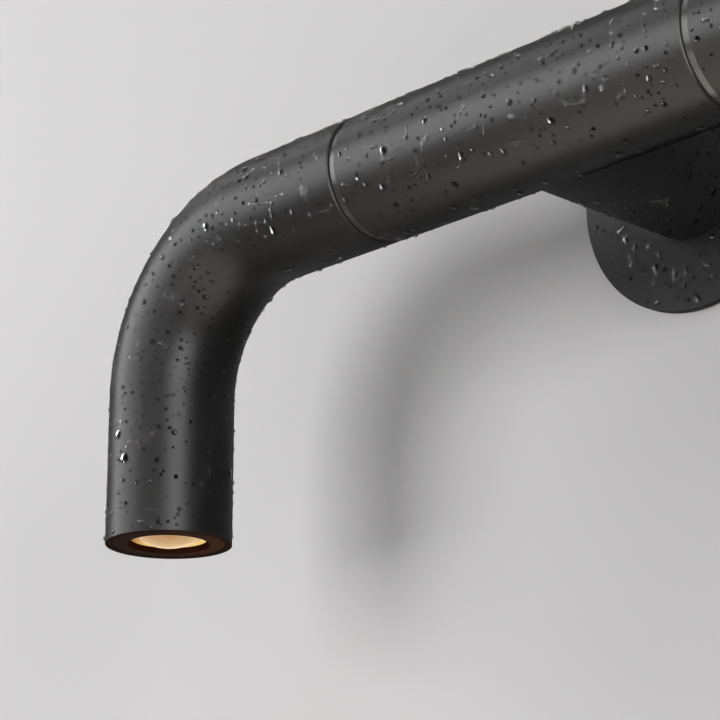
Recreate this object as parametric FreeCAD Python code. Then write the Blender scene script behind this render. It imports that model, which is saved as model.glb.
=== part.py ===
import FreeCAD, Part
import math
import os

# Twin swivelling wall spotlight, in millimetres.
# The origin is the centre of the wall plate's back face. +X runs along the cross tube, +Y points into the
# wall and +Z is up, so the light stands out from the wall towards -Y.

# Tube and overall layout
tube_d = 50.0
tube_wall = 2.5
projection = 85.0  # wall to the cross tube's axis
cross_length = 163.0  # cross tube, between the two reveal grooves
reveal_width = 3.3
reveal_depth = 1.0
leg_spacing = 405.0  # between the axes of the two downward legs
bend_r = 62.0  # centre line of the arm's bend
leg_drop = 120.7  # cross tube's axis to the open end of a leg
rim_chamfer = 0.4  # turned edges of the tube ends
lead_window_inset = 5.5  # from the neck's bore to the edge of the cross tube's window

# Clearances
slide_gap = 0.15  # radial, a plug in a tube
run_gap = 0.05  # a turning fit, radial or between flat faces
thread_gap = 0.05  # radial, a screw in its hole
swivel_gap = 0.3  # between the reveal ring and the arm tube
groove_play = 0.4  # how much wider a groove is than what lies in it
overrun = 1.0  # how far a cutting tool passes its work

# Wall plate, gasket and grommet
plate_d = 105.0
plate_t = 2.6
plate_chamfer = 0.3
gasket_inset = 3.5  # from the plate's edge
gasket_width = 9.0
gasket_t = 0.8
slot_pitch = 28.0
slot_w = 4.5
slot_l = 8.0
cable_hole_d = 13.0
grommet_bore_d = 8.0
grommet_flange_d = 16.6
grommet_flange_t = 1.8
grommet_nose_d = 10.6
grommet_nose_l = 5.6

# Spigot on the plate
spigot_h = 16.0
spigot_wall = 3.0
boss_d = 7.0
boss_inset = 4.35  # from the spigot's outside to its bosses' axes
spigot_screw_angles = (45.0, 135.0, 225.0, 315.0)
bracket_screw_angles = (90.0, 270.0)
neck_seal_rise = 5.0  # above the plate's front face
neck_grub_rise = 11.0
neck_grub_angles = (65.0, 115.0)

# Screws
m3_d = 3.0
m3_head_d = 5.6
m3_head_h = 2.0
m3_countersink_d = 5.8
m3_countersink_h = 1.6
m3_socket_af = 2.0
m3_socket_depth = 1.1
m2_d = 2.0
m2_head_d = 3.8
m2_head_h = 1.3
m2_socket_af = 1.3
m2_socket_depth = 0.8
spigot_screw_l = 9.0
bracket_screw_l = 7.0
grub_d = 4.0
grub_l = 3.0
grub_sink = 0.4  # below the tube's surface
grub_socket_af = 2.0
grub_socket_depth = 1.4

# Round-section seal rings
seal_section = 1.8

# Terminal bracket, block and earth
bracket_w = 12.0
bracket_end = 2.5  # past its screws' axes
bracket_t = 1.5
block_w = 20.0
block_h = 15.0
block_depth = 13.0
block_slit_w = 0.8
block_slit_depth = 1.5
pole_pitch = 6.0
peg_d = 2.4
peg_pitch = 9.0
entry_d = 2.8
entry_depth = 5.0
entry_rise = 1.8  # wire entries above the bracket
clamp_screw_d = 3.2
clamp_screw_l = 4.0
clamp_screw_sink = 0.5
clamp_screw_up = 3.5  # above the block's middle
clamp_slot_w = 0.6
clamp_slot_depth = 0.8
lead_socket_down = 4.0  # below the block's middle
lead_socket_depth = 4.0
tag_ring_d = 6.4
tag_t = 0.6
tag_barrel_d = 2.9
tag_barrel_l = 3.0
tag_barrel_start = 3.0  # from the tag's hole to its barrel

# Leads
core_d = 2.2  # a single insulated core
cable_d = 5.0  # the sheathed lead to each LED
core_bend_r = 12.0
lead_bend_shares = (0.3, 0.68)  # where the two bends of a core lie along its way

# Driver and tray in the cross tube
driver_end_room = 12.1  # from the swivel shaft's end
driver_corner_room = 4.2  # from the tube's bore
driver_h = 21.0
driver_edge_r = 1.2
driver_tab_l = 7.0
driver_tab_w = 16.0
driver_tab_t = 2.0
driver_socket_depth = 3.0
driver_inlet_up = 3.0
driver_screw_l = 4.0
driver_lead_l = 10.0  # from the driver's end to the swivelling lead
tray_t = 1.5
tray_engage = 2.5  # how deep the tray's ends sit in the hubs
tray_slot_depth = 3.0
tray_edge_gap = 0.15

# Swivel hub, fixed in the cross tube
hub_plug_l = 14.0
hub_seal_back = 2.5  # from the hub's shoulder
hub_grub_back = 7.5
hub_grub_angles = (35.0, -35.0)  # from the wall side, upwards
washer_inset = 4.7  # from the edge of the hub's shoulder
washer_width = 4.3
washer_t = 1.0
face_seal_inset = 2.8  # from the shoulder's edge to the seal's mean circle
stop_pin_d = 3.0
stop_pin_inset = 3.0  # from the washer's bore
stop_pin_in_hub = 6.0
stop_pin_proud = 3.0
stop_pin_angle = -90.0
stop_play = 0.4

# Swivel shaft, fixed in the arm
swivel_to_wall = 25.0  # degrees, from hanging straight down
swivel_up = 180.0  # degrees the other way, until the head points up
shaft_plug_l = 14.0
shaft_d = 12.0
shaft_bore_d = 7.0
shaft_mouth_d = 15.0
shaft_mouth_depth = 4.0
shaft_end_l = 2.0  # past the nut
shaft_grub_in = 8.0  # from the arm tube's end
spring_d = 19.2
spring_bore_d = 12.4
spring_t = 0.8
spring_cone = 0.5
nut_af = 17.0
nut_h = 6.0
nut_chamfer = 0.6

# Head: heights are measured upwards from the leg's open end
bezel_set_back = 0.2
bezel_gap = 0.2
bezel_edge = 0.25
bezel_top = 12.6
skirt_wall = 2.0
skirt_step = 5.5
seat_inset = 4.7  # from the bezel's outside to the lens's seat
lip_reach = 2.4  # of the bezel's lip over the lens
lip_flare = 1.0
lens_recess = 2.4
lens_seat_gap = 0.1
lens_flange_t = 2.0
dome_inset = 2.8  # from the lip's edge
dome_h = 3.3
cone_top = 9.9
cone_wall = 2.7
lens_cavity_room = 2.1  # round the chip's light
lens_cavity_floor = 6.8
lens_seal_width = 2.4
lens_seal_t = 0.6
holder_wall = 2.3
holder_lip_gap = 0.5  # from the dome's edge
holder_flange_t = 1.0
board_front = 11.4
board_gap = 0.6
board_t = 1.6
board_screw_room = 1.2  # from a screw's head to the chip
board_screw_l = 4.0
chip_d = 11.0
chip_t = 0.9
chip_light_d = 6.4
chip_light_t = 0.3
sink_neck_start = 9.0
sink_base_t = 7.0
sink_core_d = 18.0
sink_bore_d = 6.4
fin_gap = 0.5
fin_t = 2.5
fin_pitch = 6.5
sink_top_room = 8.0  # left above the fins before the tube's bend, at least
sink_grub_up = 3.5  # above the heat sink's lower face

# Sizes and places that follow from those above
tube_r = tube_d / 2
bore_r = tube_r - tube_wall
plug_r = bore_r - slide_gap
shoulder_r = tube_r - reveal_depth
cross_half = cross_length / 2
arm_start = cross_half + reveal_width
leg_x = leg_spacing / 2
bend_x = leg_x - bend_r
spigot_front = plate_t + spigot_h
bracket_front = spigot_front + bracket_t
block_front = bracket_front + block_depth
boss_circle_r = plug_r - boss_inset
gasket_r = plate_d / 2 - gasket_inset
m3_r = m3_d / 2
m2_r = m2_d / 2
grub_r = grub_d / 2
grub_tip_r = tube_r - grub_sink - grub_l
hub_inner = cross_half - hub_plug_l
nut_start = hub_inner - run_gap - spring_t - spring_cone - run_gap
shaft_end = nut_start - nut_h - shaft_end_l
driver_half_l = shaft_end - driver_end_room
driver_half_w = math.sqrt((bore_r - driver_corner_room) ** 2 - (driver_h / 2) ** 2)
lead_split = driver_half_l + driver_lead_l
tray_top = driver_h / 2
washer_r = shoulder_r - washer_inset
washer_bore_r = washer_r - washer_width
face_seal_r = shoulder_r - face_seal_inset
stop_pin_circle_r = washer_bore_r - stop_pin_inset
board_back = board_front + board_t
flange_top = lens_recess + lens_flange_t
holder_start = flange_top + lens_seal_t
bezel_r = bore_r - bezel_gap
skirt_bore_r = bezel_r - skirt_wall
seat_r = bezel_r - seat_inset
lens_r = seat_r - lens_seat_gap
lens_window_r = lens_r - lip_reach
dome_r = lens_window_r - dome_inset
lens_cavity_r = chip_light_d / 2 + lens_cavity_room
board_screw_circle_r = chip_d / 2 + board_screw_room + m2_head_d / 2
fin_room = leg_drop - bend_r - board_back - sink_base_t - sink_top_room
fin_count = int(fin_room // fin_pitch)

X = FreeCAD.Vector(1, 0, 0)
Y = FreeCAD.Vector(0, 1, 0)
Z = FreeCAD.Vector(0, 0, 1)
Vector = FreeCAD.Vector


def round_bar(start, direction, radius, length):
    return Part.makeCylinder(radius, length, start, direction)


def ring(start, direction, outer_r, inner_r, length):
    hole = round_bar(start - direction * overrun, direction, inner_r, length + 2 * overrun)
    return round_bar(start, direction, outer_r, length).cut(hole)


def block(x_range, y_range, z_range):
    size = Vector(x_range[1] - x_range[0], y_range[1] - y_range[0], z_range[1] - z_range[0])
    return Part.makeBox(size.x, size.y, size.z, Vector(x_range[0], y_range[0], z_range[0]))


def placed(shape, start, direction):
    # moves a shape drawn about the Z axis at the origin onto the line through start
    shape.Placement = FreeCAD.Placement(start, FreeCAD.Rotation(Z, direction))
    return shape


def turned(outline, start, direction):
    # outline holds (radius, distance along the axis) points
    points = [Vector(radius, 0, height) for radius, height in outline]
    face = Part.Face(Part.makePolygon(points + points[:1]))
    return placed(face.revolve(Vector(), Z, 360), start, direction)


def seal_ring(centre, direction, mean_r):
    return Part.makeTorus(mean_r, seal_section / 2, centre, direction)


def hexagon(start, direction, across_flats, length):
    corner_r = across_flats / math.sqrt(3)
    turns = [k * math.pi / 3 for k in range(7)]
    points = [Vector(corner_r * math.cos(turn), corner_r * math.sin(turn), 0) for turn in turns]
    return placed(Part.Face(Part.makePolygon(points)).extrude(Z * length), start, direction)


def along(angle, first, second):
    # unit vector at an angle in degrees from the first axis towards the second
    return first * math.cos(math.radians(angle)) + second * math.sin(math.radians(angle))


def grub_screw(axis_point, outwards):
    body = round_bar(axis_point + outwards * grub_tip_r, outwards, grub_r, grub_l)
    socket_start = axis_point + outwards * (grub_tip_r + grub_l - grub_socket_depth)
    return body.cut(hexagon(socket_start, outwards, grub_socket_af, grub_socket_depth + overrun))


def grub_hole(axis_point, outwards):
    return round_bar(axis_point + outwards * grub_tip_r, outwards, grub_r + thread_gap, tube_r)


def locating_groove(axis_point, direction, outer_r):
    # shallow groove round a plug, where grub screws bite
    width = grub_d + groove_play
    start = axis_point - direction * (width / 2)
    return ring(start, direction, outer_r + overrun, grub_tip_r - thread_gap, width)


def seal_groove(axis_point, direction, outer_r):
    width = seal_section + groove_play
    floor_r = bore_r - run_gap - seal_section - run_gap
    return ring(axis_point - direction * (width / 2), direction, outer_r + overrun, floor_r, width)


def plug_seal(axis_point, direction):
    return seal_ring(axis_point, direction, bore_r - run_gap - seal_section / 2)


def screw(seat, inwards, shank_l, shank_r, head_d, head_h, socket_af, socket_depth):
    shank = round_bar(seat, inwards, shank_r, shank_l)
    top = round_bar(seat, -inwards, head_d / 2, head_h)
    socket_start = seat - inwards * (head_h - socket_depth)
    return top.fuse(shank).cut(hexagon(socket_start, -inwards, socket_af, socket_depth + overrun))


def pan_screw(seat, inwards, shank_l):
    return screw(seat, inwards, shank_l, m3_r, m3_head_d, m3_head_h, m3_socket_af, m3_socket_depth)


def small_screw(seat, inwards, shank_l):
    return screw(seat, inwards, shank_l, m2_r, m2_head_d, m2_head_h, m2_socket_af, m2_socket_depth)


def screw_hole(seat, inwards, depth, screw_r=m3_r):
    return round_bar(seat - inwards * overrun, inwards, screw_r + thread_gap, depth + overrun)


def countersunk_outline(gap, length):
    head_r = m3_countersink_d / 2 + gap
    return [(0, 0), (head_r, 0), (m3_r + gap, m3_countersink_h), (m3_r + gap, length), (0, length)]


def path_wire(points, radius):
    # straight runs through the points, joined by arcs of the radius that touch both runs
    edges = []
    last = points[0]
    for before, corner, after in zip(points, points[1:], points[2:]):
        arriving = (corner - before).normalize()
        leaving = (after - corner).normalize()
        turn = arriving.getAngle(leaving)
        reach = radius * math.tan(turn / 2)
        arc_start = corner - arriving * reach
        arc_end = corner + leaving * reach
        inside = (leaving - arriving).normalize()
        middle = corner + inside * (radius / math.cos(turn / 2) - radius)
        edges.append(Part.LineSegment(last, arc_start).toShape())
        edges.append(Part.Arc(arc_start, middle, arc_end).toShape())
        last = arc_end
    edges.append(Part.LineSegment(last, points[-1]).toShape())
    return Part.Wire(edges)


def lead(points, radius, diameter):
    path = path_wire(points, radius)
    start = Part.Circle(points[0], points[1] - points[0], diameter / 2).toShape()
    solid = path.makePipeShell([Part.Wire(start)], True, False)
    expected = math.pi * diameter**2 / 4 * path.Length
    share = round(solid.Volume / expected, 5)
    print("lead: length", round(path.Length, 1), "volume over section times length", share)
    return solid


def chamfered(shape, centre, radius, size):
    # bevels the round edge of this radius that lies about the centre
    def found(edge):
        curve = edge.Curve
        round_edge = isinstance(curve, Part.Circle) and abs(curve.Radius - radius) < run_gap
        return round_edge and curve.Center.distanceToPoint(centre) < run_gap

    return shape.makeChamfer(size, [edge for edge in shape.Edges if found(edge)])


# Wall side

def plate_hole_cutters():
    tools = [round_bar(Vector(0, overrun, 0), -Y, cable_hole_d / 2, plate_t + 2 * overrun)]
    half_run = (slot_l - slot_w) / 2
    for side in (-1, 1):
        middle_x = side * slot_pitch / 2
        ends = (middle_x - half_run, middle_x + half_run)
        for x in ends:
            tools.append(round_bar(Vector(x, overrun, 0), -Y, slot_w / 2, plate_t + 2 * overrun))
        tools.append(block(ends, (-plate_t - overrun, overrun), (-slot_w / 2, slot_w / 2)))
    for angle in spigot_screw_angles:
        seat = along(angle, X, Z) * boss_circle_r
        tools.append(turned(countersunk_outline(thread_gap, plate_t + overrun), seat, -Y))
    return tools


def wall_plate():
    plate = round_bar(Vector(), -Y, plate_d / 2, plate_t)
    plate = chamfered(plate, -Y * plate_t, plate_d / 2, plate_chamfer)
    recess = ring(Y * overrun, -Y, gasket_r, gasket_r - gasket_width, gasket_t + overrun)
    return plate.cut(plate_hole_cutters() + [recess])


def wall_gasket():
    return ring(Vector(), -Y, gasket_r - run_gap, gasket_r - gasket_width + run_gap, gasket_t)


def cable_grommet():
    flange_end = plate_t + grommet_flange_t
    body_r = cable_hole_d / 2 - run_gap
    bore = grommet_bore_d / 2
    outline = [
        (bore, 0),
        (body_r, 0),
        (body_r, plate_t),
        (grommet_flange_d / 2, plate_t),
        (grommet_flange_d / 2, flange_end),
        (body_r, flange_end),
        (grommet_nose_d / 2, flange_end + grommet_nose_l),
        (bore, flange_end + grommet_nose_l),
    ]
    return turned(outline, Vector(), -Y)


def neck_spigot():
    start = -Y * plate_t
    body = ring(start, -Y, plug_r, plug_r - spigot_wall, spigot_h)
    holes = []
    for angle in spigot_screw_angles + bracket_screw_angles:
        boss_start = start + along(angle, X, Z) * boss_circle_r
        body = body.fuse(round_bar(boss_start, -Y, boss_d / 2, spigot_h))
    for angle in spigot_screw_angles:
        seat = start + along(angle, X, Z) * boss_circle_r
        holes.append(screw_hole(seat, -Y, spigot_screw_l - plate_t))
    for angle in bracket_screw_angles:
        seat = -Y * spigot_front + along(angle, X, Z) * boss_circle_r
        holes.append(screw_hole(seat, Y, bracket_screw_l))
    holes.append(seal_groove(start - Y * neck_seal_rise, Y, plug_r))
    holes.append(locating_groove(start - Y * neck_grub_rise, Y, plug_r))
    return body.cut(holes).removeSplitter()


def spigot_screws():
    screws = []
    for angle in spigot_screw_angles:
        seat = along(angle, X, Z) * boss_circle_r
        body = turned(countersunk_outline(0, spigot_screw_l), seat, -Y)
        screws.append(body.cut(hexagon(seat + Y * overrun, -Y, m3_socket_af, m3_socket_depth + overrun)))
    return screws


def neck_tube():
    # the far end is shaped to the round of the cross tube
    tube = ring(-Y * plate_t, -Y, tube_r, bore_r, projection - plate_t)
    tube = chamfered(tube, -Y * plate_t, tube_r, rim_chamfer)
    cross = round_bar(Vector(-tube_d, -projection, 0), X, tube_r, 2 * tube_d)
    grub_at = -Y * (plate_t + neck_grub_rise)
    return tube.cut([cross] + [grub_hole(grub_at, along(angle, X, Z)) for angle in neck_grub_angles])


def neck_grub_screws():
    grub_at = -Y * (plate_t + neck_grub_rise)
    return [grub_screw(grub_at, along(angle, X, Z)) for angle in neck_grub_angles]


# Terminals in the neck

def terminal_bracket():
    half_w = bracket_w / 2
    half_l = boss_circle_r + bracket_end
    strip = block((-half_w, half_w), (-bracket_front, -spigot_front), (-half_l, half_l))
    holes = []
    for angle in bracket_screw_angles:
        seat = -Y * bracket_front + along(angle, X, Z) * boss_circle_r
        holes.append(screw_hole(seat, Y, bracket_t + overrun))
    for side in (-1, 1):
        peg_at = Vector(0, -bracket_front - overrun, side * peg_pitch / 2)
        holes.append(round_bar(peg_at, Y, peg_d / 2 + run_gap, bracket_t + 2 * overrun))
    return strip.cut(holes)


def bracket_screws():
    # the lower one also clamps the earth tag
    upper = -Y * bracket_front + Z * boss_circle_r
    lower = -Y * (bracket_front + tag_t) - Z * boss_circle_r
    return [pan_screw(upper, Y, bracket_screw_l), pan_screw(lower, Y, bracket_screw_l)]


def pole_xs():
    return (-pole_pitch, 0, pole_pitch)


def terminal_block():
    body = block((-block_w / 2, block_w / 2), (-block_front, -bracket_front), (-block_h / 2, block_h / 2))
    for side in (-1, 1):
        peg_at = Vector(0, -bracket_front, side * peg_pitch / 2)
        body = body.fuse(round_bar(peg_at, Y, peg_d / 2, bracket_t))
    cuts = []
    entry_y = -bracket_front - entry_rise
    entry_top = block_h / 2 + overrun
    for x in pole_xs():
        cuts.append(round_bar(Vector(x, entry_y, entry_top), -Z, entry_d / 2, entry_depth + overrun))
        screw_start = Vector(x, -block_front - overrun, clamp_screw_up)
        screw_hole_l = clamp_screw_l + clamp_screw_sink + overrun
        cuts.append(round_bar(screw_start, Y, clamp_screw_d / 2 + thread_gap, screw_hole_l))
    cuts.append(round_bar(Vector(0, entry_y, -entry_top), Z, entry_d / 2, entry_depth + overrun))
    for side in (-1, 1):
        socket_start = Vector(side * pole_pitch, -block_front - overrun, -lead_socket_down)
        cuts.append(round_bar(socket_start, Y, core_d / 2 + run_gap, lead_socket_depth + overrun))
        slit_x = side * pole_pitch / 2
        slit = (slit_x - block_slit_w / 2, slit_x + block_slit_w / 2)
        slit_y = (-block_front - overrun, -block_front + block_slit_depth)
        cuts.append(block(slit, slit_y, (-block_h, block_h)))
    return body.cut(cuts)


def terminal_screws():
    screws = []
    for x in pole_xs():
        start = Vector(x, -block_front + clamp_screw_sink, clamp_screw_up)
        body = round_bar(start, Y, clamp_screw_d / 2, clamp_screw_l)
        slot_x = (x - clamp_slot_w / 2, x + clamp_slot_w / 2)
        slot_y = (start.y - overrun, start.y + clamp_slot_depth)
        slot_z = (clamp_screw_up - clamp_screw_d, clamp_screw_up + clamp_screw_d)
        screws.append(body.cut(block(slot_x, slot_y, slot_z)))
    return screws


def earth_tag():
    hole_z = -boss_circle_r
    barrel_z = hole_z + tag_barrel_start
    start = Vector(0, -bracket_front, hole_z)
    eye = round_bar(start, -Y, tag_ring_d / 2, tag_t)
    tongue_x = (-tag_barrel_d / 2, tag_barrel_d / 2)
    tongue = block(tongue_x, (-bracket_front - tag_t, -bracket_front), (hole_z, barrel_z + tag_barrel_l))
    barrel_at = Vector(0, -bracket_front - entry_rise, barrel_z)
    barrel = round_bar(barrel_at, Z, tag_barrel_d / 2, tag_barrel_l)
    under = block(tongue_x, (-bracket_front, -bracket_front + tag_barrel_d), (hole_z, 0))
    wire_hole = round_bar(barrel_at - Z * overrun, Z, core_d / 2 + run_gap, tag_barrel_l + 2 * overrun)
    cuts = [under, wire_hole, screw_hole(start, -Y, tag_t + overrun)]
    return eye.fuse([tongue, barrel]).cut(cuts).removeSplitter()


def earth_lead():
    y = -bracket_front - entry_rise
    start_z = -boss_circle_r + tag_barrel_start
    return round_bar(Vector(0, y, start_z), Z, core_d / 2, -block_h / 2 + entry_depth - start_z)


def supply_lead(side):
    x = side * pole_pitch
    start_y = -block_front + lead_socket_depth
    end_y = -projection + driver_half_w - driver_socket_depth
    bend_ys = [start_y + (end_y - start_y) * share for share in lead_bend_shares]
    low = -lead_socket_down
    points = [
        Vector(x, start_y, low),
        Vector(x, bend_ys[0], low),
        Vector(x, bend_ys[1], driver_inlet_up),
        Vector(x, end_y, driver_inlet_up),
    ]
    return lead(points, core_bend_r, core_d)


# Cross tube and driver

def on_axis(x):
    return Vector(x, -projection, 0)


def cross_tube():
    tube = ring(on_axis(-cross_half), X, tube_r, bore_r, cross_length)
    for side in (-1, 1):
        tube = chamfered(tube, on_axis(side * cross_half), tube_r, rim_chamfer)
    cuts = [round_bar(on_axis(0), Y, bore_r - lead_window_inset, tube_d)]
    for side in (-1, 1):
        for angle in hub_grub_angles:
            cuts.append(grub_hole(on_axis(side * (cross_half - hub_grub_back)), along(angle, Y, Z)))
    return tube.cut(cuts)


def driver_tray():
    half_l = hub_inner + tray_engage
    low = -tray_top - tray_t
    half_w = math.sqrt(bore_r**2 - low**2) - tray_edge_gap
    strip = block((-half_l, half_l), (-projection - half_w, -projection + half_w), (low, -tray_top))
    return strip.cut([driver_screw_hole(side) for side in (-1, 1)])


def driver_screw_place(side):
    x = side * (driver_half_l + driver_tab_l / 2)
    return Vector(x, -projection, -tray_top + driver_tab_t)


def driver_screw_hole(side):
    return screw_hole(driver_screw_place(side), -Z, driver_tab_t + tray_t + overrun)


def led_driver():
    case_y = (-projection - driver_half_w, -projection + driver_half_w)
    case = block((-driver_half_l, driver_half_l), case_y, (-tray_top, tray_top))
    case = case.makeFillet(driver_edge_r, case.Edges)
    half_tab = driver_tab_w / 2
    reach = driver_half_l + driver_tab_l
    tab_z = (-tray_top, -tray_top + driver_tab_t)
    tabs = block((-reach, reach), (-projection - half_tab, -projection + half_tab), tab_z)
    cuts = [driver_screw_hole(side) for side in (-1, 1)]
    for side in (-1, 1):
        inlet_y = -projection + driver_half_w - driver_socket_depth
        inlet = Vector(side * pole_pitch, inlet_y, driver_inlet_up)
        cuts.append(round_bar(inlet, Y, core_d / 2 + run_gap, driver_socket_depth + overrun))
        outlet = on_axis(side * (driver_half_l - driver_socket_depth))
        cuts.append(round_bar(outlet, X * side, cable_d / 2 + run_gap, driver_socket_depth + overrun))
    return case.fuse(tabs).cut(cuts).removeSplitter()


def driver_screws():
    return [pan_screw(driver_screw_place(side), -Z, driver_screw_l) for side in (-1, 1)]


def driver_lead(side):
    start = driver_half_l - driver_socket_depth
    return round_bar(on_axis(side * start), X * side, cable_d / 2, lead_split - start)


# Swivel

def swivel_hub(side):
    out = X * side
    shoulder_end = arm_start - swivel_gap
    body = round_bar(on_axis(side * hub_inner), out, plug_r, hub_plug_l)
    body = body.fuse(round_bar(on_axis(side * cross_half), out, shoulder_r, shoulder_end - cross_half))
    hub_bore_r = shaft_d / 2 + run_gap
    hub_bore_l = hub_plug_l + reveal_width + 2 * overrun
    pocket_r = washer_r + run_gap
    pocket_core_r = washer_bore_r - run_gap
    pocket_depth = washer_t + overrun
    half_slot = seal_section / 2 + run_gap
    slot_outer_r = face_seal_r + half_slot
    slot_inner_r = face_seal_r - half_slot
    slot_top = -tray_top + run_gap
    slot_low = -tray_top - tray_t - run_gap
    slot_x = sorted((side * (hub_inner - overrun), side * (hub_inner + tray_slot_depth)))
    pin_at = stop_pin_start(side)
    return body.cut(
        [
            round_bar(on_axis(side * (hub_inner - overrun)), out, hub_bore_r, hub_bore_l),
            seal_groove(on_axis(side * (cross_half - hub_seal_back)), out, plug_r),
            locating_groove(on_axis(side * (cross_half - hub_grub_back)), out, plug_r),
            ring(washer_start(side), out, pocket_r, pocket_core_r, pocket_depth),
            ring(face_groove_start(side), out, slot_outer_r, slot_inner_r, seal_section + overrun),
            block(slot_x, (-projection - tube_r, -projection + tube_r), (slot_low, slot_top)),
            round_bar(pin_at, out, stop_pin_d / 2 + run_gap, hub_plug_l),
        ]
    ).removeSplitter()


def washer_start(side):
    return on_axis(side * (arm_start - run_gap - washer_t))


def face_groove_start(side):
    return on_axis(side * (arm_start - 3 * run_gap - seal_section))


def stop_pin_start(side):
    return on_axis(side * (arm_start - stop_pin_in_hub)) + along(stop_pin_angle, Y, Z) * stop_pin_circle_r


def friction_washer(side):
    return ring(washer_start(side), X * side, washer_r, washer_bore_r, washer_t)


def swivel_seal(side):
    centre = face_groove_start(side) + X * side * (run_gap + seal_section / 2)
    return seal_ring(centre, X, face_seal_r)


def hub_seal(side):
    return plug_seal(on_axis(side * (cross_half - hub_seal_back)), X)


def hub_grubs(side):
    grub_at = on_axis(side * (cross_half - hub_grub_back))
    return [grub_screw(grub_at, along(angle, Y, Z)) for angle in hub_grub_angles]


def stop_pin(side):
    return round_bar(stop_pin_start(side), X * side, stop_pin_d / 2, stop_pin_in_hub + stop_pin_proud)


def stop_slot(side):
    # curved slot in the shaft's plug, in which the fixed pin runs from one limit to the other
    start_angle = stop_pin_angle - swivel_to_wall
    sweep = swivel_to_wall + swivel_up
    half_w = stop_pin_d / 2 + stop_play
    depth = stop_pin_proud + 2 * stop_play
    base = on_axis(side * (arm_start - overrun))
    section_y = (stop_pin_circle_r - half_w, stop_pin_circle_r + half_w)
    section = block((0, depth + overrun), section_y, (0, tube_d))
    profile = [face for face in section.Faces if abs(face.CenterOfMass.z) < run_gap][0]
    slot = profile.revolve(Vector(), X, sweep)
    slot.rotate(Vector(), X, start_angle)
    if side < 0:
        slot = slot.mirror(Vector(), X)
    slot.translate(base)
    for angle in (start_angle, start_angle + sweep):
        slot_end = base + along(angle, Y, Z) * stop_pin_circle_r
        slot = slot.fuse(round_bar(slot_end, X * side, half_w, depth + overrun))
    return slot


def swivel_shaft(side):
    out = X * side
    plug_end = arm_start + shaft_plug_l
    body = round_bar(on_axis(side * arm_start), out, plug_r, shaft_plug_l)
    body = body.fuse(round_bar(on_axis(side * shaft_end), out, shaft_d / 2, plug_end - shaft_end))
    bore_l = plug_end - shaft_end + 2 * overrun
    mouth = [(0, 0), (shaft_bore_d / 2, 0), (shaft_mouth_d / 2, shaft_mouth_depth), (0, shaft_mouth_depth)]
    return body.cut(
        [
            round_bar(on_axis(side * (shaft_end - overrun)), out, shaft_bore_d / 2, bore_l),
            turned(mouth, on_axis(side * (plug_end - shaft_mouth_depth)), out),
            locating_groove(on_axis(side * (arm_start + shaft_grub_in)), out, plug_r),
            stop_slot(side),
        ]
    ).removeSplitter()


def disc_spring(side):
    low = run_gap
    outline = [
        (spring_d / 2, low),
        (spring_d / 2, low + spring_t),
        (spring_bore_d / 2, low + spring_t + spring_cone),
        (spring_bore_d / 2, low + spring_cone),
    ]
    return turned(outline, on_axis(side * hub_inner), X * -side)


def lock_nut(side):
    inwards = X * -side
    start = on_axis(side * nut_start)
    corner_r = nut_af / math.sqrt(3)
    flat_r = nut_af / 2
    rounding = turned(
        [
            (0, 0),
            (flat_r, 0),
            (corner_r, nut_chamfer),
            (corner_r, nut_h - nut_chamfer),
            (flat_r, nut_h),
            (0, nut_h),
        ],
        start,
        inwards,
    )
    nut = hexagon(start, inwards, nut_af, nut_h).common(rounding)
    return nut.cut(round_bar(start - inwards * overrun, inwards, shaft_d / 2 + thread_gap, nut_h + 2 * overrun))


def shaft_grubs(side):
    grub_at = on_axis(side * (arm_start + shaft_grub_in))
    return [grub_screw(grub_at, along(angle, Y, Z)) for angle in hub_grub_angles]


# Arm

def arm_tube(side):
    out = X * side
    start = on_axis(side * arm_start)
    bend_start = on_axis(side * bend_x)
    bend_centre = bend_start - Z * bend_r
    leg_start = on_axis(side * leg_x) - Z * bend_r
    outer = Part.Face(Part.Wire(Part.Circle(bend_start, X, tube_r).toShape()))
    inner = Part.Face(Part.Wire(Part.Circle(bend_start, X, bore_r).toShape()))
    bend = outer.cut(inner).revolve(bend_centre, Y, side * 90)
    straight = ring(start, out, tube_r, bore_r, bend_x - arm_start)
    leg = ring(leg_start, -Z, tube_r, bore_r, leg_drop - bend_r)
    tube = straight.fuse([bend, leg]).removeSplitter()
    tube = chamfered(tube, start, tube_r, rim_chamfer)
    grub_at = on_axis(side * (arm_start + shaft_grub_in))
    cuts = [grub_hole(grub_at, along(angle, Y, Z)) for angle in hub_grub_angles]
    cuts.append(grub_hole(sink_grub_place(side), Y))
    return tube.cut(cuts)


def arm_lead(side):
    points = [on_axis(side * lead_split), on_axis(side * leg_x), head(side, board_back)]
    return lead(points, bend_r, cable_d)


# Head

def head(side, height):
    return on_axis(side * leg_x) + Z * (height - leg_drop)


def sink_grub_place(side):
    return head(side, board_back + sink_grub_up)


def heat_sink(side):
    base_top = board_back + sink_base_t
    body = round_bar(head(side, board_back), Z, plug_r, sink_base_t)
    neck_l = board_back - sink_neck_start
    body = body.fuse(ring(head(side, sink_neck_start), Z, skirt_bore_r - run_gap, seat_r, neck_l))
    body = body.fuse(round_bar(head(side, base_top), Z, sink_core_d / 2, fin_count * fin_pitch))
    for k in range(1, fin_count + 1):
        fin_start = base_top + k * fin_pitch - fin_t
        body = body.fuse(round_bar(head(side, fin_start), Z, bore_r - fin_gap, fin_t))
    bore_l = sink_base_t + fin_count * fin_pitch + 2 * overrun
    cuts = [round_bar(head(side, board_back - overrun), Z, sink_bore_d / 2, bore_l)]
    cuts.append(locating_groove(sink_grub_place(side), Z, plug_r))
    for place in board_screw_places(side):
        cuts.append(screw_hole(place + Z * board_t, Z, board_screw_l, m2_r))
    return body.cut(cuts).removeSplitter()


def heat_sink_screw(side):
    return grub_screw(sink_grub_place(side), Y)


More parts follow.
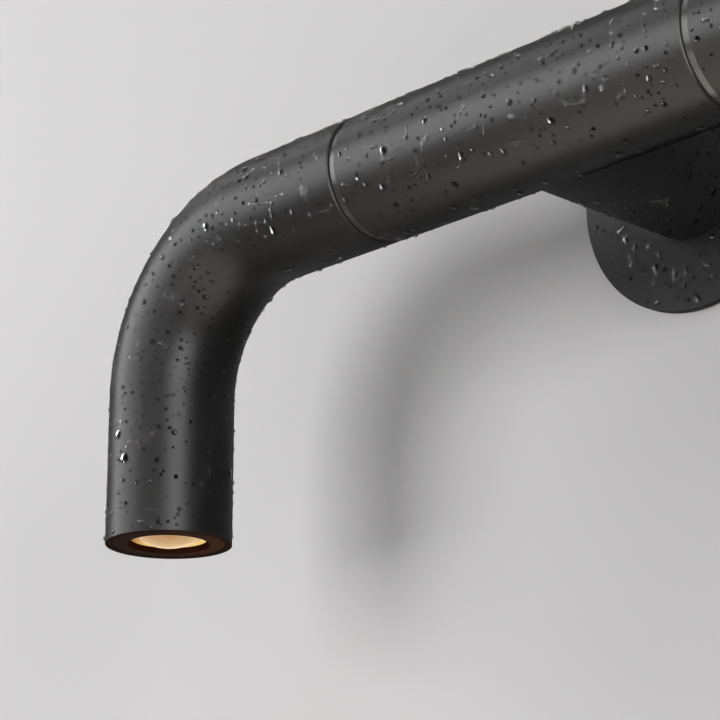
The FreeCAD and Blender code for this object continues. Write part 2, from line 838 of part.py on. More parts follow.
def board_screw_places(side):
    out = X * board_screw_circle_r
    return [head(side, board_front) - out, head(side, board_front) + out]


def led_board(side):
    board = round_bar(head(side, board_front), Z, seat_r - board_gap, board_t)
    return board.cut([screw_hole(place, Z, board_t + overrun, m2_r) for place in board_screw_places(side)])


def board_screws(side):
    return [small_screw(place, Z, board_screw_l) for place in board_screw_places(side)]


def led_chip(side):
    chip = round_bar(head(side, board_front - chip_t), Z, chip_d / 2, chip_t)
    light_start = head(side, board_front - chip_t - chip_light_t)
    return chip.fuse(round_bar(light_start, Z, chip_light_d / 2, chip_light_t))


def optic_holder(side):
    lip_r = dome_r + holder_lip_gap
    outline = [
        (lip_r, holder_start),
        (lens_r, holder_start),
        (lens_r, board_front),
        (lens_r - holder_wall, board_front),
        (lens_r - holder_wall, holder_start + holder_flange_t),
        (lip_r, holder_start + holder_flange_t),
    ]
    return turned(outline, head(side, 0), Z)


def lens_seal(side):
    return ring(head(side, flange_top), Z, lens_r, lens_r - lens_seal_width, lens_seal_t)


def lens(side):
    # a domed face below, a flange, and a cone above that gathers the chip's light
    sphere_r = (dome_r**2 + dome_h**2) / (2 * dome_h)
    apex = lens_recess - dome_h
    half_angle = math.asin(dome_r / sphere_r) / 2
    middle = Vector(sphere_r * math.sin(half_angle), 0, apex + sphere_r * (1 - math.cos(half_angle)))
    corners = [
        (dome_r, lens_recess),
        (lens_r, lens_recess),
        (lens_r, flange_top),
        (dome_r, flange_top),
        (lens_cavity_r + cone_wall, cone_top),
        (lens_cavity_r, cone_top),
        (lens_cavity_r, lens_cavity_floor),
        (0, lens_cavity_floor),
        (0, apex),
    ]
    points = [Vector(radius, 0, height) for radius, height in corners]
    edges = [Part.Arc(points[-1], middle, points[0]).toShape()]
    for first, second in zip(points, points[1:]):
        edges.append(Part.LineSegment(first, second).toShape())
    return placed(Part.Face(Part.Wire(edges)).revolve(Vector(), Z, 360), head(side, 0), Z)


def bezel_ring(side):
    lip_top = lens_recess - run_gap
    outline = [
        (lens_window_r + lip_flare, bezel_set_back),
        (bezel_r - bezel_edge, bezel_set_back),
        (bezel_r, bezel_set_back + bezel_edge),
        (bezel_r, bezel_top),
        (skirt_bore_r, bezel_top),
        (skirt_bore_r, skirt_step),
        (seat_r, skirt_step),
        (seat_r, lip_top),
        (lens_window_r, lip_top),
    ]
    return turned(outline, head(side, 0), Z)


def both(make):
    return [make(-1), make(1)]


parts = {
    "wall_plate": wall_plate(),
    "wall_gasket": wall_gasket(),
    "cable_grommet": cable_grommet(),
    "neck_spigot": neck_spigot(),
    "spigot_screws": spigot_screws(),
    "neck_seal": plug_seal(-Y * (plate_t + neck_seal_rise), Y),
    "neck_tube": neck_tube(),
    "neck_grub_screws": neck_grub_screws(),
    "terminal_bracket": terminal_bracket(),
    "bracket_screws": bracket_screws(),
    "terminal_block": terminal_block(),
    "terminal_screws": terminal_screws(),
    "earth_tag": earth_tag(),
    "earth_lead": earth_lead(),
    "live_lead": supply_lead(-1),
    "neutral_lead": supply_lead(1),
    "cross_tube": cross_tube(),
    "driver_tray": driver_tray(),
    "led_driver": led_driver(),
    "driver_screws": driver_screws(),
    "friction_washers": both(friction_washer),
    "swivel_seals": both(swivel_seal),
    "hub_seals": both(hub_seal),
    "hub_grub_screws": hub_grubs(-1) + hub_grubs(1),
    "stop_pins": both(stop_pin),
}
for side, name in ((-1, "left"), (1, "right")):
    parts["driver_lead_" + name] = driver_lead(side)
    parts["swivel_hub_" + name] = swivel_hub(side)
    parts["swivel_shaft_" + name] = swivel_shaft(side)
    parts["disc_spring_" + name] = disc_spring(side)
    parts["lock_nut_" + name] = lock_nut(side)
    parts["shaft_grub_screws_" + name] = shaft_grubs(side)
    parts["arm_tube_" + name] = arm_tube(side)
    parts["arm_lead_" + name] = arm_lead(side)
    parts["heat_sink_" + name] = heat_sink(side)
    parts["heat_sink_screw_" + name] = heat_sink_screw(side)
    parts["led_board_" + name] = led_board(side)
    parts["board_screws_" + name] = board_screws(side)
    parts["led_chip_" + name] = led_chip(side)
    parts["optic_holder_" + name] = optic_holder(side)
    parts["lens_seal_" + name] = lens_seal(side)
    parts["lens_" + name] = lens(side)
    parts["bezel_ring_" + name] = bezel_ring(side)

os.makedirs("parts", exist_ok=True)
for name, shape in parts.items():
    if isinstance(shape, list):
        shape = Part.makeCompound(shape)
    if not shape.isValid():
        print("not valid:", name)
    shape.exportStep("parts/" + name + ".step")
print(len(parts), "nodes written")
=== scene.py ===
import bpy
import math
import numpy as np
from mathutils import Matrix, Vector


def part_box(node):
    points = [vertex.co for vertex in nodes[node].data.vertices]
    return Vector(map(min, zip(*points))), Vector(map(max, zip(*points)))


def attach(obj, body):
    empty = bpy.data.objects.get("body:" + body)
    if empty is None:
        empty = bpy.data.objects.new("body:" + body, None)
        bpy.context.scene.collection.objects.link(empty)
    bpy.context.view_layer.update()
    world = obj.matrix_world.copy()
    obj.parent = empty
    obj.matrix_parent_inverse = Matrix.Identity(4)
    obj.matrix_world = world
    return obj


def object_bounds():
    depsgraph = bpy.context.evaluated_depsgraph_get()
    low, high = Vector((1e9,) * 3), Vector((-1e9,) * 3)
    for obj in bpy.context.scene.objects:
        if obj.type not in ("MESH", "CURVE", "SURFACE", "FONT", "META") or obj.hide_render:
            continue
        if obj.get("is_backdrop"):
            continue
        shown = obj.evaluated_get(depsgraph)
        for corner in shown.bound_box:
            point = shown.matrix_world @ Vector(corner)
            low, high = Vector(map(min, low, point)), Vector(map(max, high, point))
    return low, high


# A twin wall spotlight of black coated tube, wet with rain, on a pale wall.
# Metres, +Z up, +X along the cross tube, the wall at y = 0 and the room towards -Y.

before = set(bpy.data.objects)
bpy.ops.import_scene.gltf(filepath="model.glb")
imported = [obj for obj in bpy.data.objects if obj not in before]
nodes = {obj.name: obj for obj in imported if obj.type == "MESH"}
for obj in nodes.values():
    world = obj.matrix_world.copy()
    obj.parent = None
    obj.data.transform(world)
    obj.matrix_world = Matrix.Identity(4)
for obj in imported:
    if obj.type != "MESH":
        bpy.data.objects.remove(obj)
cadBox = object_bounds()

# Sizes read from the frame, and two radii of the part

crossLow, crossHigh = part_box("cross_tube")
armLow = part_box("arm_tube_right")[0]
plateLow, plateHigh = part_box("wall_plate")
lensLow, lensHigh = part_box("lens_right")
tube = {
    "radius": (crossHigh.z - crossLow.z) / 2,
    "axisY": (crossHigh.y + crossLow.y) / 2,
    "crossHalf": crossHigh.x,
    "armStart": armLow.x,
    "jointX": (crossHigh.x + armLow.x) / 2,  # the middle of the reveal ring
    "jointHalf": (armLow.x - crossHigh.x) / 2,
    "legX": (lensLow.x + lensHigh.x) / 2,
    "legEnd": armLow.z,
    "bendRadius": 0.062,
    "plateRadius": plateHigh.x,
    "plateFront": plateLow.y,
    "domeRadius": 0.0123,  # of the lens
}

# Level directions across a head, both aslant to the light's middle, with the heads folded onto the right one
headAxes = {
    "towardsRoom": (-0.72, 0.69, 0),
    "towardsWall": (-0.69, -0.72, 0),
}


# Shader helpers

def feed(tree, socket, value):
    # a socket takes a plain value or the output of another node
    if isinstance(value, bpy.types.NodeSocket):
        tree.links.new(value, socket)
    else:
        socket.default_value = value


def addNode(tree, kind, inputs=None, **settings):
    made = tree.nodes.new("ShaderNode" + kind)
    for key, value in settings.items():
        setattr(made, key, value)
    for key, value in (inputs or {}).items():
        feed(tree, made.inputs[key], value)
    return made


def addMath(tree, operation, *values):
    return addNode(tree, "Math", dict(enumerate(values)), operation=operation).outputs[0]


def addVectorMath(tree, operation, *values):
    # lengths and dot products come out as a value, all else as a vector
    made = addNode(tree, "VectorMath", dict(enumerate(values)), operation=operation)
    return made.outputs["Value" if operation in ("LENGTH", "DOT_PRODUCT") else "Vector"]


def mapRange(tree, value, start, end, first=0.0, last=1.0):
    # the value at start becomes first and the value at end becomes last
    return addNode(tree, "MapRange", {0: value, 1: start, 2: end, 3: first, 4: last}).outputs[0]


def mixValue(tree, share, first, second):
    return addNode(tree, "Mix", {0: share, 2: first, 3: second}).outputs[0]


def mixColour(tree, share, first, second):
    return addNode(tree, "Mix", {0: share, 6: first, 7: second}, data_type="RGBA").outputs[2]


def addNoise(tree, place, scale, detail, roughness=0.5):
    inputs = {"Vector": place, "Scale": scale, "Detail": detail, "Roughness": roughness}
    return addNode(tree, "TexNoise", inputs).outputs[0]


def addBump(tree, height, depth):
    return addNode(tree, "Bump", {"Height": height, "Distance": depth}).outputs[0]


def perMetre(tree, size):
    # a texture's scale for features of this size
    return addMath(tree, "DIVIDE", 1.0, size)


def awayFrom(tree, value, middle):
    return addMath(tree, "ABSOLUTE", addMath(tree, "SUBTRACT", value, middle))


def newGroup(name, inputs, outputs):
    group = bpy.data.node_groups.new(name, "ShaderNodeTree")
    for label, kind, value in inputs:
        socket = group.interface.new_socket(label, in_out="INPUT", socket_type="NodeSocket" + kind)
        socket.default_value = value
    for label, kind in outputs:
        group.interface.new_socket(label, in_out="OUTPUT", socket_type="NodeSocket" + kind)
    return group, group.nodes.new("NodeGroupInput").outputs, group.nodes.new("NodeGroupOutput").inputs


def useGroup(tree, group, inputs):
    return addNode(tree, "Group", inputs, node_tree=group).outputs


def blank(name):
    material = bpy.data.materials.new(name)
    material.use_nodes = True
    tree = material.node_tree
    tree.nodes.clear()
    output = tree.nodes.new("ShaderNodeOutputMaterial")
    place = tree.nodes.new("ShaderNodeTexCoord").outputs["Object"]
    return material, tree, output, place


def addPrincipled(tree, output, inputs):
    shader = addNode(tree, "BsdfPrincipled", inputs)
    tree.links.new(shader.outputs[0], output.inputs["Surface"])
    return shader


# Shared effects

grainLook = {
    "fine": {"detail": 3.0, "roughness": 0.6},
    "patch": {"detail": 4.0, "roughness": 0.55},
}
wearLook = {
    "rounding": (0.99, 0.86),  # cosines between the two normals, where the wear starts and where it is full
    "noiseFade": (0.35, 0.6),
    "least": 0.35,  # share of the wear that is left between the spots of the noise
}
markLook = {
    "rim": 0.17,  # a rim's radius and half its width, in spacings
    "rimHalf": 0.035,
    "patches": 40.0,  # scale of the noise that leaves marks in patches only
    "patchFade": (0.5, 0.62),
}


def makeGrain():
    # two sizes of noise, the fine one gives the height and both give the shade
    group, given, out = newGroup(
        "Surface Grain",
        [("Vector", "Vector", (0, 0, 0)), ("Size", "Float", 0.001), ("Patch Size", "Float", 0.03)],
        [("Height", "Float"), ("Shade", "Float")],
    )
    fine = addNoise(group, given["Vector"], perMetre(group, given["Size"]), **grainLook["fine"])
    patch = addNoise(group, given["Vector"], perMetre(group, given["Patch Size"]), **grainLook["patch"])
    feed(group, out["Height"], fine)
    feed(group, out["Shade"], addMath(group, "MULTIPLY", fine, patch))
    return group


def makeEdgeWear():
    # the shading normal leaves the rounded normal near an edge, broken up by noise
    group, given, out = newGroup(
        "Edge Wear",
        [("Vector", "Vector", (0, 0, 0)), ("Width", "Float", 0.0006), ("Breakup Size", "Float", 0.004)],
        [("Mask", "Float")],
    )
    rounded = addNode(group, "Bevel", {"Radius": given["Width"]}, samples=4).outputs[0]
    flat = addNode(group, "NewGeometry").outputs["Normal"]
    edge = mapRange(group, addVectorMath(group, "DOT_PRODUCT", rounded, flat), *wearLook["rounding"])
    noise = addNoise(group, given["Vector"], perMetre(group, given["Breakup Size"]), detail=4.0)
    broken = mapRange(group, noise, *wearLook["noiseFade"], wearLook["least"], 1.0)
    feed(group, out["Mask"], addMath(group, "MULTIPLY", edge, broken))
    return group


def makeRainMarks():
    # dried rims where smaller drops have been, from the distance to scattered points
    group, given, out = newGroup(
        "Rain Marks",
        [("Vector", "Vector", (0, 0, 0)), ("Spacing", "Float", 0.006)],
        [("Mask", "Float")],
    )
    scale = perMetre(group, given["Spacing"])
    cells = addNode(group, "TexVoronoi", {"Vector": given["Vector"], "Scale": scale})
    fromRim = awayFrom(group, cells.outputs["Distance"], markLook["rim"])
    thin = mapRange(group, fromRim, 0.0, markLook["rimHalf"], 1.0, 0.0)
    patches = addNoise(group, given["Vector"], markLook["patches"], detail=2.0)
    some = mapRange(group, patches, *markLook["patchFade"])
    feed(group, out["Mask"], addMath(group, "MULTIPLY", thin, some))
    return group


def makeTurning():
    # rings about an axis: the sine of the distance from it, the same on both sides of the light
    group, given, out = newGroup(
        "Turning Lines",
        [("Vector", "Vector", (0, 0, 0)), ("Centre", "Vector", (0, 0, 0)), ("Across", "Vector", (1, 1, 0)),
         ("Pitch", "Float", 0.0002)],
        [("Height", "Float")],
    )
    oneSide = addVectorMath(group, "ABSOLUTE", given["Vector"])
    centred = addVectorMath(group, "SUBTRACT", oneSide, given["Centre"])
    radius = addVectorMath(group, "LENGTH", addVectorMath(group, "MULTIPLY", centred, given["Across"]))
    turns = addMath(group, "DIVIDE", radius, given["Pitch"])
    feed(group, out["Height"], addMath(group, "SINE", addMath(group, "MULTIPLY", turns, 2 * math.pi)))
    return group


grain = makeGrain()
edgeWear = makeEdgeWear()
rainMarks = makeRainMarks()
turning = makeTurning()


# Black powder coat of the tubes, plate and reveal rings, and the bezels' dark anodised finish, with painted
# light: warm on the tube ends and bezels, paler beside the reveal rings and over the plate and neck

coatLook = {
    "colour": (0.0036, 0.0034, 0.0033, 1),
    "patchColour": (0.0051, 0.0048, 0.0045, 1),
    "edgeColour": (0.026, 0.0245, 0.0235, 1),
    "endGlowPainted": (0.030, 0.0185, 0.0135, 1),  # painted warm light on the tubes' end faces, as the lamps' glow would light them
    "endFade": (0.0001, 0.0005),  # heights above the end face
    "jointLightPainted": (0.036, 0.035, 0.034, 1),  # painted light: paler faces on both sides of a reveal ring, against the shade in its groove
    "jointFade": (0.0001, 0.0003),  # distances from the ring
    "grainSize": 0.0008,
    "patchSize": 0.05,
    "patchFade": (0.12, 0.4),
    "grainDepth": 0.00001,
    "roughness": (0.36, 0.44),
    "roughFade": (0.1, 0.45),
    "markRoughness": 0.5,
    "gloss": 0.085,  # share of a plain varnish's gloss, less where the coat is seen edge on
    "edgeGloss": 0.007,
    "glossFade": (0.45, 0.88),
}
# the same coat painted paler on the plate and neck: painted light, standing in for light thrown back from
# the wall
mountPaintedLight = {
    **coatLook,
    "colour": (0.021, 0.0207, 0.0206, 1),
    "patchColour": (0.026, 0.0254, 0.0252, 1),
}
ringLook = {
    **coatLook,
    "colour": (0.0035, 0.0034, 0.0033, 1),
    "patchColour": (0.0050, 0.0048, 0.0046, 1),
    "roughness": (0.22, 0.28),
    "gloss": 0.16,
}
bezelLook = {
    **coatLook,
    # the bezel's browns are painted warm light over a dark anodised finish
    "colour": (0.030, 0.0170, 0.0108, 1),
    "patchColour": (0.042, 0.0215, 0.0130, 1),
    "sideGlowPainted": (0.068, 0.0280, 0.0145, 1),  # painted warm light on the side towards the other lamp and the wall
    "innerFade": (-0.004, 0.02),
    "edgeColour": (0.05, 0.030, 0.021, 1),
    "boreGlowPainted": (0.024, 0.0055, 0.0012, 1),  # painted warm light from the lens inside the opening
    "boreFade": (0.0162, 0.0166),  # radii
    "roughness": (0.5, 0.6),
    "gloss": 0.01,
}


def acrossLeg(tree, place):
    # the way out from the leg's axis and its length: both legs are folded onto the right one
    oneSide = addVectorMath(tree, "ABSOLUTE", place)
    centred = addVectorMath(tree, "SUBTRACT", oneSide, (tube["legX"], -tube["axisY"], 0))
    flat = addVectorMath(tree, "MULTIPLY", centred, (1, 1, 0))
    return flat, addVectorMath(tree, "LENGTH", flat)


def makeCoat(name, look):
    # masks lay other colours over the coat: worn edges, painted warm light on the end faces, painted light
    # on the faces beside a reveal ring, and painted warm light on a bezel's side and in its opening
    material, tree, output, place = blank(name)
    sizes = {"Size": look["grainSize"], "Patch Size": look["patchSize"]}
    skin = useGroup(tree, grain, {"Vector": place, **sizes})
    worn = useGroup(tree, edgeWear, {"Vector": place})["Mask"]
    marks = useGroup(tree, rainMarks, {"Vector": place})["Mask"]
    parts = addNode(tree, "SeparateXYZ", {0: place}).outputs
    atEnd = mapRange(tree, parts["Z"], *[tube["legEnd"] + up for up in look["endFade"]], 1.0, 0.0)
    fromJoint = awayFrom(tree, addMath(tree, "ABSOLUTE", parts["X"]), tube["jointX"])
    atJoint = mapRange(tree, fromJoint, *[tube["jointHalf"] + out for out in look["jointFade"]], 1.0, 0.0)
    patches = mapRange(tree, skin["Shade"], *look["patchFade"])
    colour = mixColour(tree, patches, look["colour"], look["patchColour"])
    colour = mixColour(tree, worn, colour, look["edgeColour"])
    # painted warm light on the tubes' end faces
    colour = mixColour(tree, atEnd, colour, look["endGlowPainted"])
    # painted light beside the reveal rings, against the groove's shade
    colour = mixColour(tree, atJoint, colour, look["jointLightPainted"])
    if "boreGlowPainted" in look:
        # painted warm light on the bezel's side towards the wall and in its opening
        flat, radius = acrossLeg(tree, place)
        inwards = addVectorMath(tree, "DOT_PRODUCT", flat, headAxes["towardsWall"])
        colour = mixColour(tree, mapRange(tree, inwards, *look["innerFade"]), colour, look["sideGlowPainted"])
        inBore = mapRange(tree, radius, *look["boreFade"], 1.0, 0.0)
        colour = mixColour(tree, inBore, colour, look["boreGlowPainted"])
    rough = mapRange(tree, skin["Shade"], *look["roughFade"], *look["roughness"])
    edgeOn = addNode(tree, "LayerWeight", {"Blend": 0.5}).outputs["Facing"]
    gloss = mapRange(tree, edgeOn, *look["glossFade"], look["gloss"], look["edgeGloss"])
    shader = addPrincipled(tree, output, {
        "Base Color": colour,
        "Roughness": mixValue(tree, marks, rough, look["markRoughness"]),
        "Normal": addBump(tree, skin["Height"], look["grainDepth"]),
        "IOR": 1.45,
        "Specular IOR Level": look["gloss"],  # kept in the socket under the link set below; what the export keeps
    })
    feed(tree, shader.inputs["Specular IOR Level"], mixValue(tree, atEnd, gloss, 0.0))
    return material


blackCoat = makeCoat("BlackCoat", coatLook)
plateCoat = makeCoat("PlateCoat", {**mountPaintedLight, "gloss": 0.052})
neckCoat = makeCoat("NeckCoat", {**mountPaintedLight, "gloss": 0.024})
ringCoat = makeCoat("RevealRingCoat", ringLook)
bezelCoat = makeCoat("BezelAnodisedPaintedGlow", bezelLook)


# Finishes of the pieces inside and behind, one dictionary of looks for them all

finishes = {
    "StainlessSteel": {
        "colour": (0.56, 0.55, 0.53), "patch": (0.47, 0.46, 0.45), "metallic": 1.0,
        "roughness": (0.22, 0.38), "grain": 0.0005, "depth": 0.000004,
        "on": ["spigot_screws", "neck_grub_screws", "bracket_screws", "driver_screws", "hub_grub_screws",
               "stop_pins", "disc_spring", "shaft_grub_screws", "heat_sink_screw", "board_screws"],
    },
    "ZincPlatedSteel": {
        "colour": (0.60, 0.61, 0.63), "patch": (0.45, 0.47, 0.50), "metallic": 1.0,
        "roughness": (0.3, 0.5), "grain": 0.0015, "depth": 0.000004,
        "on": ["terminal_bracket", "driver_tray", "lock_nut", "terminal_screws"],
    },
    "TurnedAluminium": {
        "colour": (0.72, 0.72, 0.73), "patch": (0.62, 0.62, 0.64), "metallic": 1.0,
        "roughness": (0.25, 0.38), "grain": 0.0006, "depth": 0.000003,
        "turned": {"Centre": (0, 0, 0), "Across": (1, 0, 1), "Pitch": 0.0003},
        "on": ["neck_spigot"],
    },
    "TurnedShaft": {
        "colour": (0.70, 0.70, 0.71), "patch": (0.60, 0.60, 0.62), "metallic": 1.0,
        "roughness": (0.25, 0.38), "grain": 0.0006, "depth": 0.000003,
        "turned": {"Centre": (0, -tube["axisY"], 0), "Across": (0, 1, 1), "Pitch": 0.0003},
        "on": ["swivel_shaft"],
    },
    "TurnedHeatSink": {
        "colour": (0.68, 0.68, 0.69), "patch": (0.58, 0.58, 0.60), "metallic": 1.0,
        "roughness": (0.28, 0.4), "grain": 0.0006, "depth": 0.000003,
        "turned": {"Centre": (tube["legX"], -tube["axisY"], 0), "Across": (1, 1, 0), "Pitch": 0.0003},
        "on": ["heat_sink"],
    },
    "Brass": {
        "colour": (0.72, 0.50, 0.22), "patch": (0.60, 0.39, 0.16), "metallic": 1.0,
        "roughness": (0.28, 0.42), "grain": 0.0006, "depth": 0.000004,
        "on": ["earth_tag"],
    },
    "WasherNylon": {
        "colour": (0.66, 0.64, 0.58), "patch": (0.60, 0.57, 0.50), "metallic": 0.0,
        "roughness": (0.4, 0.55), "grain": 0.0007, "depth": 0.00001,
        "on": ["friction_washers"],
    },
    "TerminalPlastic": {
        "colour": (0.70, 0.69, 0.65), "patch": (0.62, 0.61, 0.57), "metallic": 0.0,
        "roughness": (0.38, 0.5), "grain": 0.0004, "depth": 0.00001,
        "on": ["terminal_block"],
    },
    "DriverCase": {
        "colour": (0.60, 0.60, 0.58), "patch": (0.52, 0.52, 0.50), "metallic": 0.0,
        "roughness": (0.42, 0.58), "grain": 0.0005, "depth": 0.000015,
        "on": ["led_driver"],
    },
    "SealRubber": {
        "colour": (0.016, 0.016, 0.016), "patch": (0.026, 0.025, 0.024), "metallic": 0.0,
        "roughness": (0.6, 0.8), "grain": 0.0006, "depth": 0.00002,
        "on": ["cable_grommet", "neck_seal", "swivel_seals", "hub_seals", "lens_seal"],
    },
    "GasketFoam": {
        "colour": (0.030, 0.030, 0.031), "patch": (0.055, 0.054, 0.053), "metallic": 0.0,
        "roughness": (0.85, 0.95), "grain": 0.0009, "depth": 0.0002,
        "on": ["wall_gasket"],
    },
    "BrownInsulation": {
        "colour": (0.13, 0.055, 0.025), "patch": (0.10, 0.042, 0.020), "metallic": 0.0,
        "roughness": (0.35, 0.5), "grain": 0.001, "depth": 0.00001,
        "on": ["live_lead"],
    },
    "BlueInsulation": {
        "colour": (0.025, 0.10, 0.36), "patch": (0.020, 0.08, 0.29), "metallic": 0.0,
        "roughness": (0.35, 0.5), "grain": 0.001, "depth": 0.00001,
        "on": ["neutral_lead"],
    },
    "EarthInsulation": {
        "colour": (0.10, 0.33, 0.05), "patch": (0.08, 0.27, 0.04), "metallic": 0.0,
        "roughness": (0.35, 0.5), "grain": 0.001, "depth": 0.00001,
        "stripe": {"colour": (0.75, 0.62, 0.05), "pitch": 0.0022},
        "on": ["earth_lead"],
    },
    "LeadSheath": {
        "colour": (0.045, 0.045, 0.045), "patch": (0.035, 0.034, 0.034), "metallic": 0.0,
        "roughness": (0.45, 0.6), "grain": 0.0012, "depth": 0.00002,
        "on": ["arm_lead", "driver_lead"],
    },
    "BoardWhite": {
        "colour": (0.78, 0.78, 0.76), "patch": (0.70, 0.70, 0.67), "metallic": 0.0,
        "roughness": (0.25, 0.38), "grain": 0.0006, "depth": 0.000005,
        "on": ["led_board"],
    },
    "HolderBlack": {
        "colour": (0.020, 0.020, 0.021), "patch": (0.028, 0.028, 0.028), "metallic": 0.0,
        "roughness": (0.4, 0.55), "grain": 0.0005, "depth": 0.00001,
        "on": ["optic_holder"],
    },
}
commonFinish = {
    "patches": 12,  # patches are this many grains wide
    "fade": (0.1, 0.42),
    "edge": {"Width": 0.0003, "Breakup Size": 0.002},
    "edgePaler": (1.5, 0.02),  # worn edges have the colour times the first plus the second
    "stripeScale": 0.314,  # the wave texture's scale for bands a metre apart
    "stripeFade": (0.48, 0.52),
}


def makeFinish(name, look):
    # grain and paler worn edges, with bands or turning lines where the look asks for them
    material, tree, output, place = blank(name)
    patchSize = commonFinish["patches"] * look["grain"]
    skin = useGroup(tree, grain, {"Vector": place, "Size": look["grain"], "Patch Size": patchSize})
    worn = useGroup(tree, edgeWear, {"Vector": place, **commonFinish["edge"]})["Mask"]
    patches = mapRange(tree, skin["Shade"], *commonFinish["fade"])
    colour = mixColour(tree, patches, (*look["colour"], 1), (*look["patch"], 1))
    if "stripe" in look:
        scale = commonFinish["stripeScale"] / look["stripe"]["pitch"]
        waves = addNode(tree, "TexWave", {"Vector": place, "Scale": scale}, bands_direction="Z")
        band = mapRange(tree, waves.outputs["Fac"], *commonFinish["stripeFade"])
        colour = mixColour(tree, band, colour, (*look["stripe"]["colour"], 1))
    times, plus = commonFinish["edgePaler"]
    edge = tuple(min(1.0, times * part + plus) for part in look["colour"])
    height = skin["Height"]
    if "turned" in look:
        rings = useGroup(tree, turning, {"Vector": place, **look["turned"]})
        height = addMath(tree, "ADD", height, rings["Height"])
    addPrincipled(tree, output, {
        "Base Color": mixColour(tree, worn, colour, (*edge, 1)),
        "Roughness": mapRange(tree, skin["Shade"], *commonFinish["fade"], *look["roughness"]),
        "Metallic": look["metallic"],
        "Normal": addBump(tree, height, look["depth"]),
    })
    return material


# Glow of the lens and of the chip behind it

lensLook = {
    # from the side towards the wall to the side towards the room, with each colour's place between them
    "across": [(0.0, (0.78, 0.54, 0.25)), (0.28, (0.74, 0.50, 0.225)), (0.5, (0.55, 0.335, 0.125)),
               (0.78, (0.46, 0.26, 0.10)), (0.92, (0.45, 0.235, 0.085)), (1.0, (0.40, 0.20, 0.075))],
    "acrossFade": (-0.0085, 0.0115),
    "uneven": (-0.1, 0.1),  # how far the ripples move the colours
    "tip": (0.36, 0.17, 0.045, 1),  # at the end away from the other lamp and the wall
    "tipFade": (-0.0142, -0.0095),
    "band": (0.62, 0.39, 0.18, 1),  # round the dome's foot
    "bandRadius": 0.93 * tube["domeRadius"],
    "bandHalf": 0.0012,
    "bandShare": 0.8,
    "seat": (0.85, 0.60, 0.20, 1),  # the flat ring round the dome
    "seatFade": 0.0006,
    "glass": ((0.10, 0.06, 0.03, 1), (0.06, 0.035, 0.02, 1)),  # what shows where it doesn't glow
    "ripples": 260.0,
    "rippleFade": (0.3, 0.7),
    "rippleDepth": 0.00004,
    "roughness": 0.12,
    "strength": 1.0,
}
chipLook = {
    "dots": 1300.0,
    "dotFade": (0.1, 0.6),
    "between": (0.85, 0.55, 0.12, 1),
    "colour": (1.0, 0.82, 0.38, 1),
    "depth": 0.00005,
    "roughness": 0.45,
    "strength": 2.0,
}


def makeLens():
    # the glow's colour goes by the distance from the lens's axis and by the side that looks into the room
    material, tree, output, place = blank("LensGlow")
    flat, radius = acrossLeg(tree, place)
    ripple = addNoise(tree, place, lensLook["ripples"], detail=3.0, roughness=0.6)
    sideways = addVectorMath(tree, "DOT_PRODUCT", flat, headAxes["towardsRoom"])
    share = mapRange(tree, sideways, *lensLook["acrossFade"])
    uneven = mapRange(tree, ripple, *lensLook["rippleFade"], *lensLook["uneven"])
    body = addNode(tree, "ValToRGB", {"Fac": addMath(tree, "ADD", share, uneven)})
    stops = body.color_ramp.elements
    stops.remove(stops[1])
    for position, colour in lensLook["across"]:
        stop = stops[0] if position == 0 else stops.new(position)
        stop.color = (*colour, 1)
    fromBand = awayFrom(tree, radius, lensLook["bandRadius"])
    band = mapRange(tree, fromBand, 0.0, lensLook["bandHalf"], lensLook["bandShare"], 0.0)
    glow = mixColour(tree, band, body.outputs["Color"], lensLook["band"])
    onSeat = mapRange(tree, radius, tube["domeRadius"], tube["domeRadius"] + lensLook["seatFade"])
    glow = mixColour(tree, onSeat, glow, lensLook["seat"])
    lengthwise = addVectorMath(tree, "DOT_PRODUCT", flat, headAxes["towardsWall"])
    glow = mixColour(tree, mapRange(tree, lengthwise, *lensLook["tipFade"]), lensLook["tip"], glow)
    addPrincipled(tree, output, {
        "Base Color": mixColour(tree, share, *lensLook["glass"]),
        "Roughness": lensLook["roughness"],
        "IOR": 1.5,
        "Emission Color": glow,
        "Emission Strength": lensLook["strength"],
        "Normal": addBump(tree, ripple, lensLook["rippleDepth"]),
    })
    return material


def makeChip():
    # phosphor dots close together under the chip's dam
    material, tree, output, place = blank("ChipPhosphor")
    cells = addNode(tree, "TexVoronoi", {"Vector": place, "Scale": chipLook["dots"]})
    dots = mapRange(tree, cells.outputs["Distance"], *chipLook["dotFade"], 1.0, 0.0)
    colour = mixColour(tree, dots, chipLook["between"], chipLook["colour"])
    addPrincipled(tree, output, {
        "Base Color": colour,
        "Roughness": chipLook["roughness"],
        "Emission Color": colour,
        "Emission Strength": chipLook["strength"],
        "Normal": addBump(tree, dots, chipLook["depth"]),
    })
    return material


# Every node gets its material

def named(stem):
    return [name for name in nodes if name == stem or name in (stem + "_left", stem + "_right")]


def dress(stem, material):
    for name in named(stem):
        slots = nodes[name].material_slots
        if not slots:
            nodes[name].data.materials.append(material)
        for slot in slots:
            slot.link = "OBJECT"
            slot.material = material


dress("cross_tube", blackCoat)
dress("arm_tube", blackCoat)
dress("wall_plate", plateCoat)
dress("neck_tube", neckCoat)
dress("swivel_hub", ringCoat)
dress("bezel_ring", bezelCoat)
dress("lens", makeLens())
dress("led_chip", makeChip())
for finishName, look in finishes.items():
    finish = makeFinish(finishName, look)
    for stem in look["on"]:
        dress(stem, finish)
print("materials:", len(bpy.data.materials), "made")


# Camera, at the photograph's angle: from the right, in front of and below the light

camera = {
    "azimuth": 46.409,
    "elevation": -17.387,
    "distance": 0.858221,  # from the middle of the cross tube's axis
    "aside": -0.064233,  # to the right in the picture
    "above": -0.086129,
    "lens": 122.109,
    "sensor": 36,
}


